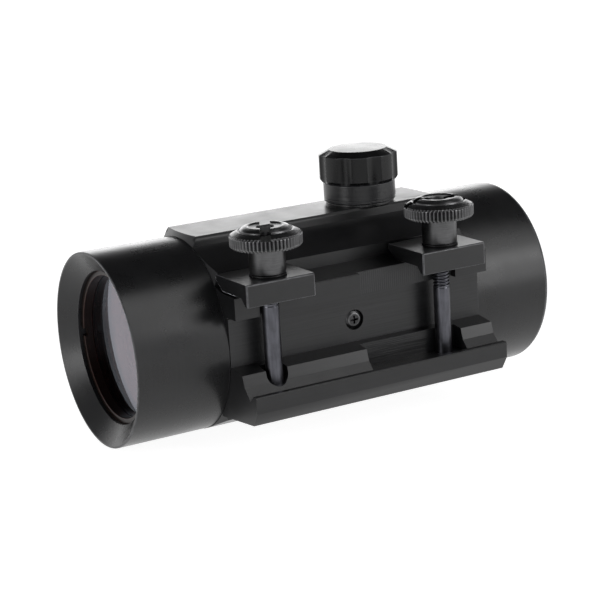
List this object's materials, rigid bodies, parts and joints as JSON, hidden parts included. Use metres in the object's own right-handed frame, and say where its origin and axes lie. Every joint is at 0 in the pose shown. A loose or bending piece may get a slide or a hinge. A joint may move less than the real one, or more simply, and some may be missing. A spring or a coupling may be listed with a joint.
{
  "type": "red dot finder",
  "caption": "Tube-type red dot finder with a screw-cap brightness turret and two thumb-nut rail clamps along one side.",
  "frame": {"origin": "on the optical axis, at the plane of the front mouth's rim", "axes": "+X along the optical axis from the front mouth to the eyepiece end; +Z towards the brightness turret; the rail seat faces -Y, so +Y is up when the finder stands on its rail"},
  "size_m": [0.0996, 0.0528, 0.0536],
  "materials": {
    "anodised_tube": "satin black anodised aluminium",
    "anodised_body": "milled and bead-blasted black anodised aluminium",
    "anodised_cap": "turned semi-gloss black anodised aluminium",
    "black_steel": "black-oxide steel",
    "plated_steel": "dark zinc-plated steel",
    "spring_steel": "bright spring steel",
    "ball_steel": "polished bearing steel",
    "clear_glass": "anti-reflection coated glass",
    "red_glass": "red-reflecting coated glass",
    "rubber": "black nitrile rubber",
    "brass": "turned brass",
    "board": "glass-fibre circuit board",
    "black_plastic": "black moulded plastic",
    "led_resin": "red-tinted clear resin",
    "copper_wire": "enamelled copper wire",
    "cell_nickel": "nickel-plated cell case"
  },
  "bodies": {
    "sight_body": {"mount_body": "anodised_body", "front_tube": "anodised_tube", "rear_tube": "anodised_tube", "front_window": "clear_glass", "front_window_ring": "anodised_tube", "front_window_seal": "rubber", "rear_window": "clear_glass", "rear_window_ring": "anodised_tube", "rear_window_seal": "rubber", "clamp_studs": "black_steel", "floor_screw": "black_steel", "bias_spring": "spring_steel", "turret_base": "anodised_tube", "switch_board": "board", "detent_ball": "ball_steel", "detent_spring": "spring_steel", "emitter_leads": "copper_wire", "elevation_seal": "rubber", "windage_seal": "rubber"},
    "left_clamp": {"left_clamp_block": "anodised_body", "left_clamp_washer": "plated_steel"},
    "left_nut": {"left_thumb_nut": "black_steel"},
    "right_clamp": {"right_clamp_block": "anodised_body", "right_clamp_washer": "plated_steel"},
    "right_nut": {"right_thumb_nut": "black_steel"},
    "brightness_turret": {"brightness_dial": "anodised_cap", "wiper_contact": "brass", "battery_spring": "spring_steel", "coin_cell": "cell_nickel"},
    "cap_carrier": {"cap_contact": "spring_steel", "cap_seal": "rubber"},
    "cap": {"battery_cap": "anodised_cap"},
    "elevation_screw": {"elevation_dial": "anodised_tube"},
    "elevation_pusher": {"elevation_plunger": "brass"},
    "windage_screw": {"windage_dial": "anodised_tube"},
    "windage_pusher": {"windage_plunger": "brass"},
    "gimbal": {"gimbal_ring": "brass", "gimbal_pins": "plated_steel"},
    "optical_tube": {"inner_tube": "anodised_tube", "reflector_lens": "red_glass", "reflector_ring": "anodised_tube", "emitter_holder": "black_plastic", "led_emitter": "led_resin"}
  },
  "joints": [
    {"name": "left_clamp_slide", "type": "slide", "parent": "sight_body", "child": "left_clamp", "axis": [0, 0, 1], "range_m": [-0.00035, 0.0048]},
    {"name": "left_nut_turn", "type": "hinge", "parent": "left_clamp", "child": "left_nut", "pos_m": [0.0279, -0.02416, 0.02], "axis": [0, 0, 1], "range_deg": [-180.5, 2469.1]},
    {"name": "right_clamp_slide", "type": "slide", "parent": "sight_body", "child": "right_clamp", "axis": [0, 0, 1], "range_m": [0, 0.0051]},
    {"name": "right_nut_turn", "type": "hinge", "parent": "right_clamp", "child": "right_nut", "pos_m": [0.0687, -0.02416, 0.02], "axis": [0, 0, 1], "range_deg": [-0.5, 2623.4]},
    {"name": "brightness_turn", "type": "hinge", "parent": "sight_body", "child": "brightness_turret", "pos_m": [0.0645, 0, 0.022], "axis": [0, 0, 1], "range_deg": [0, 330]},
    {"name": "cap_lift", "type": "slide", "parent": "brightness_turret", "child": "cap_carrier", "axis": [0, 0, 1], "range_m": [0, 0.0024]},
    {"name": "cap_turn", "type": "hinge", "parent": "cap_carrier", "child": "cap", "pos_m": [0.0645, 0, 0.03], "axis": [0, 0, 1], "range_deg": [-0.5, 864.5]},
    {"name": "elevation_turn", "type": "hinge", "parent": "sight_body", "child": "elevation_screw", "pos_m": [0.038, 0.02, 0], "axis": [0, 1, 0], "range_deg": [-220.5, 220.5]},
    {"name": "elevation_push", "type": "slide", "parent": "sight_body", "child": "elevation_pusher", "axis": [0, 1, 0], "range_m": [-0.0003, 0.0003]},
    {"name": "windage_turn", "type": "hinge", "parent": "sight_body", "child": "windage_screw", "pos_m": [0.038, 0, -0.02], "axis": [0, 0, -1], "range_deg": [-220.5, 220.5]},
    {"name": "windage_push", "type": "slide", "parent": "sight_body", "child": "windage_pusher", "axis": [0, 0, -1], "range_m": [-0.0003, 0.0003]},
    {"name": "elevation_tilt", "type": "hinge", "parent": "sight_body", "child": "gimbal", "pos_m": [0.073, 0, 0], "axis": [0, 0, 1], "range_deg": [-0.51, 0.51]},
    {"name": "windage_tilt", "type": "hinge", "parent": "gimbal", "child": "optical_tube", "pos_m": [0.073, 0, 0], "axis": [0, 1, 0], "range_deg": [-0.51, 0.51]}
  ],
  "couplings": [
    {"joint": "left_nut_turn", "follows": "left_clamp_slide", "rad_per_m": 8976},
    {"joint": "right_nut_turn", "follows": "right_clamp_slide", "rad_per_m": 8976},
    {"joint": "cap_turn", "follows": "cap_lift", "rad_per_m": 6283.2},
    {"joint": "elevation_turn", "follows": "elevation_push", "rad_per_m": 12566},
    {"joint": "elevation_tilt", "follows": "elevation_push", "rad_per_m": -28.571},
    {"joint": "windage_turn", "follows": "windage_push", "rad_per_m": 12566},
    {"joint": "windage_tilt", "follows": "windage_push", "rad_per_m": -28.571}
  ]
}
